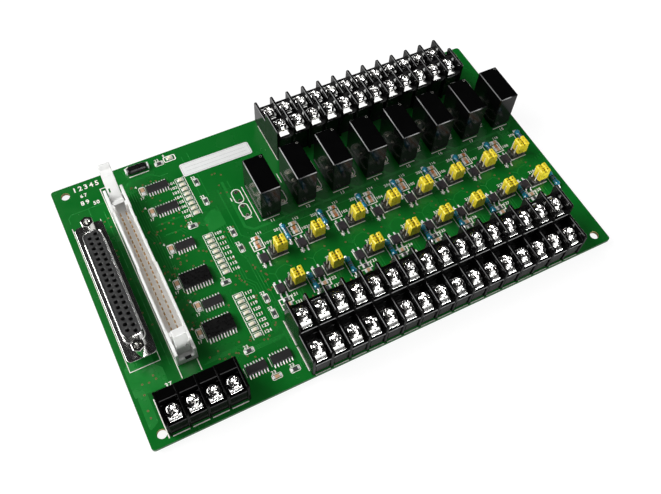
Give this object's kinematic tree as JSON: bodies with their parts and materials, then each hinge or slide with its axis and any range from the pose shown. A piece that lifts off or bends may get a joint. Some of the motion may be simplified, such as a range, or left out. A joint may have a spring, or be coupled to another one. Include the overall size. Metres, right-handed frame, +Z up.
{
  "type": "relay module board",
  "caption": "Relay output board with stepped screw terminal strips, a box header with latches, a socket connector and jumper-set input channels.",
  "frame": {"origin": "middle of the four mounting holes, on the underside of the board", "axes": "+X along the long side from the connectors to the last relay, +Y from the long terminal strip to the short one, +Z up through the parts, out of the board's top"},
  "size_m": [0.2194, 0.132, 0.0249],
  "materials": {
    "solder_mask": "green solder mask over a glass-fibre board, satin gloss",
    "terminal_plastic": "black moulded plastic, satin",
    "relay_plastic": "black moulded case, glossy",
    "plated_metal": "bright nickel plate",
    "screw_metal": "bright nickel plated steel",
    "tinned_metal": "tinned copper",
    "gold_metal": "gold flash over copper alloy",
    "shroud_plastic": "light grey moulded plastic, satin",
    "base_plastic": "black moulded plastic, satin",
    "shell_metal": "tinned drawn steel",
    "circuit_plastic": "black moulding compound",
    "shunt_plastic": "yellow moulded plastic",
    "resistor_lacquer": "blue lacquer",
    "chip_ceramic": "brown ceramic, fired",
    "lamp_resin": "cream clear resin",
    "fuse_plastic": "dark moulded body",
    "label_paper": "white paper label"
  },
  "bodies": {
    "board": {"bottom_terminal_clamps": "plated_metal", "bottom_terminal_housing": "terminal_plastic", "bottom_terminal_plates": "plated_metal", "bottom_terminal_screws": "screw_metal", "bypass_capacitors": "chip_ceramic", "channel_chips": "chip_ceramic", "circuit_board": "solder_mask", "connector_base": "base_plastic", "connector_insert": "base_plastic", "connector_jackscrews": "screw_metal", "connector_shell": "shell_metal", "fuse_body": "fuse_plastic", "fuse_caps": "tinned_metal", "header_pins": "gold_metal", "header_shroud": "shroud_plastic", "jumper_bases": "base_plastic", "jumper_pins": "gold_metal", "jumper_shunts": "shunt_plastic", "label_sticker": "label_paper", "lamp_banks": "lamp_resin", "logic_chips": "chip_ceramic", "narrow_circuit_bodies": "circuit_plastic", "narrow_circuit_leads": "tinned_metal", "optocoupler_bodies": "circuit_plastic", "optocoupler_leads": "tinned_metal", "power_lamp": "lamp_resin", "power_terminal_clamps": "plated_metal", "power_terminal_housing": "terminal_plastic", "power_terminal_plates": "plated_metal", "power_terminal_screws": "screw_metal", "relay_1": "relay_plastic", "relay_2": "relay_plastic", "relay_3": "relay_plastic", "relay_4": "relay_plastic", "relay_5": "relay_plastic", "relay_6": "relay_plastic", "relay_7": "relay_plastic", "relay_8": "relay_plastic", "resistor_bodies": "resistor_lacquer", "resistor_wires": "tinned_metal", "solder_joints": "tinned_metal", "top_terminal_clamps": "plated_metal", "top_terminal_housing": "terminal_plastic", "top_terminal_plates": "plated_metal", "top_terminal_screws": "screw_metal", "wide_circuit_bodies": "circuit_plastic", "wide_circuit_leads": "tinned_metal"},
    "north_latch": {"latch_north": "shroud_plastic"},
    "south_latch": {"latch_south": "shroud_plastic"}
  },
  "joints": [
    {"name": "north_latch_hinge", "type": "hinge", "parent": "board", "child": "north_latch", "pos_m": [-0.08398, 0.046, 0.0058], "axis": [1, 0, 0], "range_deg": [0, 45]},
    {"name": "south_latch_hinge", "type": "hinge", "parent": "board", "child": "south_latch", "pos_m": [-0.08398, -0.0338, 0.0058], "axis": [1, 0, 0], "range_deg": [0, 45]}
  ]
}
